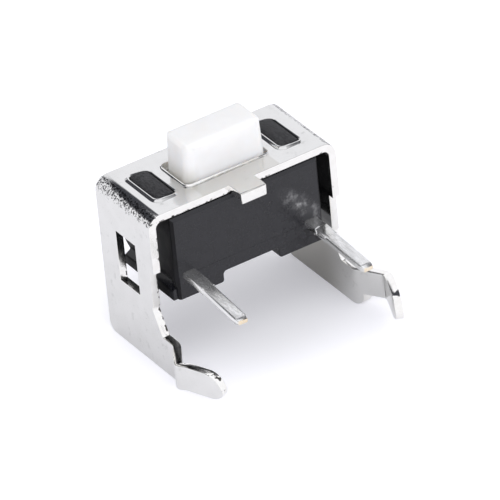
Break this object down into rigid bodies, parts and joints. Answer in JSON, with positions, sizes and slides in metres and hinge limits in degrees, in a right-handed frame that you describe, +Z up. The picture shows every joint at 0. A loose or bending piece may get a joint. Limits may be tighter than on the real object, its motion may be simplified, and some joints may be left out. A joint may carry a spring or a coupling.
{
  "type": "tactile push button switch",
  "caption": "Side-press tactile push button switch: rectangular button over a moulded housing in a folded sheet bracket with snap feet and flat pins.",
  "frame": {"origin": "middle of the outer box, on the surface the two bracket legs stand on", "axes": "+Z up, the way the button points; +X along the body from the left terminal to the right one; -Y toward the circuit board, the way the pins and snap feet point"},
  "size_m": [0.009, 0.0072, 0.0078],
  "materials": {
    "plated_steel": "bright tin plate with sheared edges",
    "black_moulding": "smooth semi-gloss moulded plastic",
    "white_moulding": "fine satin moulded plastic",
    "spring_steel": "bright rolled spring strip",
    "plated_brass": "tin plated, bare brass at the cut ends"
  },
  "bodies": {
    "frame": {"bracket": "plated_steel", "housing": "black_moulding", "contact_dome": "spring_steel", "terminal_left": "plated_brass", "terminal_right": "plated_brass"},
    "button": {"button": "white_moulding"}
  },
  "joints": [
    {"name": "button_press", "type": "slide", "parent": "frame", "child": "button", "axis": [0, 0, -1], "range_m": [0, 0.00025], "stiffness_N_per_m": 6400, "deforming": ["contact_dome"]}
  ]
}
